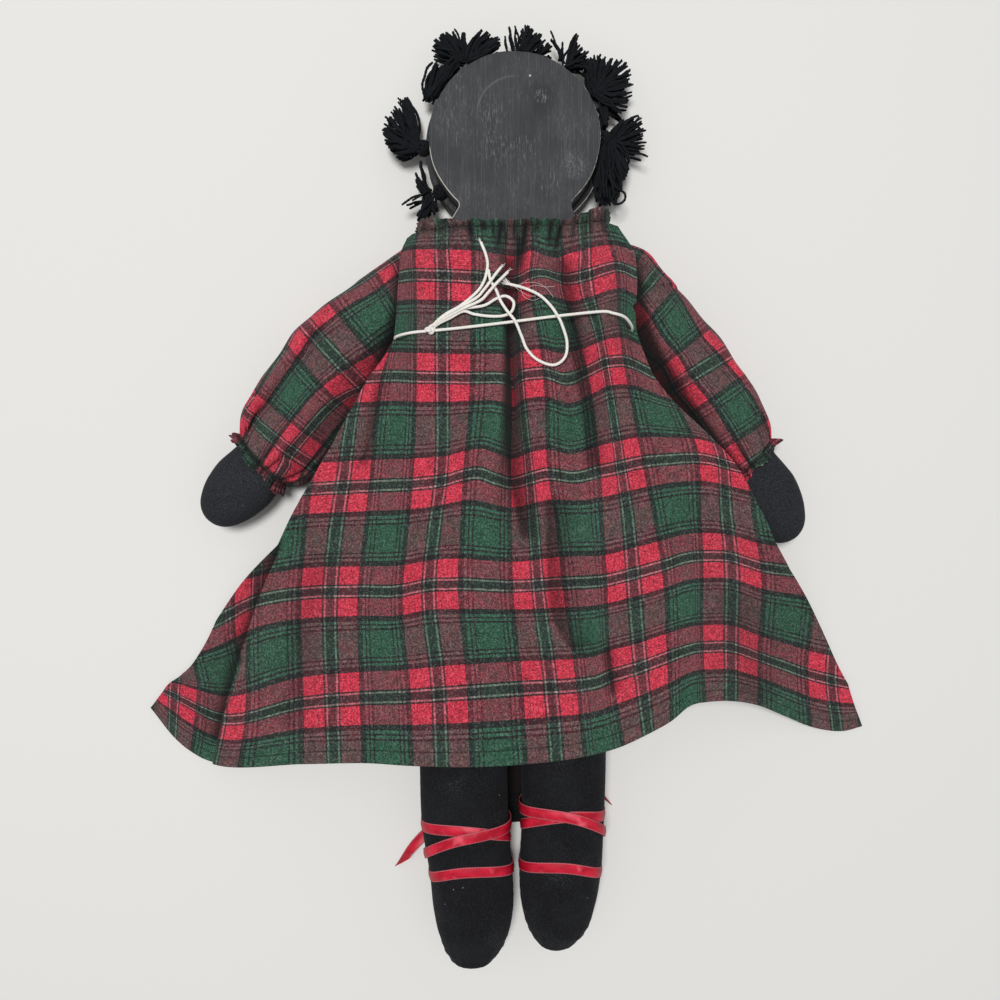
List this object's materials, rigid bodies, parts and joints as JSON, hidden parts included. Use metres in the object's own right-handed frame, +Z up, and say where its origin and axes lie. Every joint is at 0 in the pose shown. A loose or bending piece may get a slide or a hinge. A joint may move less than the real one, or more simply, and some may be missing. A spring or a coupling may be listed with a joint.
{
  "type": "doll",
  "caption": "Folk doll with a flat round wooden head, yarn hair tufts, a stuffed cloth body and a tartan dress tied with string, lying face down with arms and legs that swing.",
  "frame": {"origin": "middle of the doll's box, on the surface that it lies on", "axes": "+Y towards the head, +Z up from the surface towards the doll's back, +X to the doll's right side"},
  "size_m": [0.4036, 0.5174, 0.0521],
  "materials": {
    "painted_wood": "black milk paint, rubbed at the edges",
    "yarn": "black wool yarn",
    "black_cotton": "matt black cotton with lint",
    "tartan_flannel": "brushed cotton flannel in red and green tartan",
    "elastic": "thin covered elastic in its casing",
    "cotton_string": "twisted white cotton",
    "satin_ribbon": "woven-edge satin"
  },
  "bodies": {
    "body": {"head_board": "painted_wood", "face_board": "painted_wood", "hair_tie_1": "yarn", "hair_tie_2": "yarn", "hair_tie_3": "yarn", "hair_tuft_1": "yarn", "hair_tuft_2": "yarn", "hair_tuft_3": "yarn", "hair_tuft_4": "yarn", "hair_tuft_5": "yarn", "hair_tuft_6": "yarn", "hair_tuft_7": "yarn", "hair_tuft_8": "yarn", "hair_tuft_9": "yarn", "hair_tuft_10": "yarn", "torso": "black_cotton", "dress_back": "tartan_flannel", "dress_front": "tartan_flannel", "neck_frill": "tartan_flannel", "neck_elastic": "elastic", "string_knot": "cotton_string", "chest_string": "cotton_string", "string_bundle": "cotton_string", "string_end_a": "cotton_string", "string_end_b": "cotton_string", "string_end_c": "cotton_string", "string_loop": "cotton_string", "string_end_e": "cotton_string"},
    "left_arm": {"left_arm": "black_cotton", "left_sleeve": "tartan_flannel", "left_wrist_elastic": "elastic", "left_cuff_frill": "tartan_flannel"},
    "right_arm": {"right_arm": "black_cotton", "right_sleeve": "tartan_flannel", "right_wrist_elastic": "elastic", "right_cuff_frill": "tartan_flannel"},
    "left_leg": {"left_leg": "black_cotton", "left_ribbon": "satin_ribbon", "left_ribbon_tie": "satin_ribbon"},
    "right_leg": {"right_leg": "black_cotton", "right_ribbon": "satin_ribbon", "right_ribbon_tie": "satin_ribbon"}
  },
  "joints": [
    {"name": "left_shoulder", "type": "hinge", "parent": "body", "child": "left_arm", "pos_m": [-0.05925, 0.11185, 0.018], "axis": [0, 0, -1], "range_deg": [0, 70]},
    {"name": "right_shoulder", "type": "hinge", "parent": "body", "child": "right_arm", "pos_m": [0.06475, 0.11185, 0.018], "axis": [0, 0, 1], "range_deg": [0, 70]},
    {"name": "left_hip", "type": "hinge", "parent": "body", "child": "left_leg", "pos_m": [-0.02325, -0.03215, 0.02075], "axis": [0, 0, -1], "range_deg": [0, 10]},
    {"name": "right_hip", "type": "hinge", "parent": "body", "child": "right_leg", "pos_m": [0.02875, -0.03215, 0.02075], "axis": [0, 0, 1], "range_deg": [0, 10]}
  ]
}
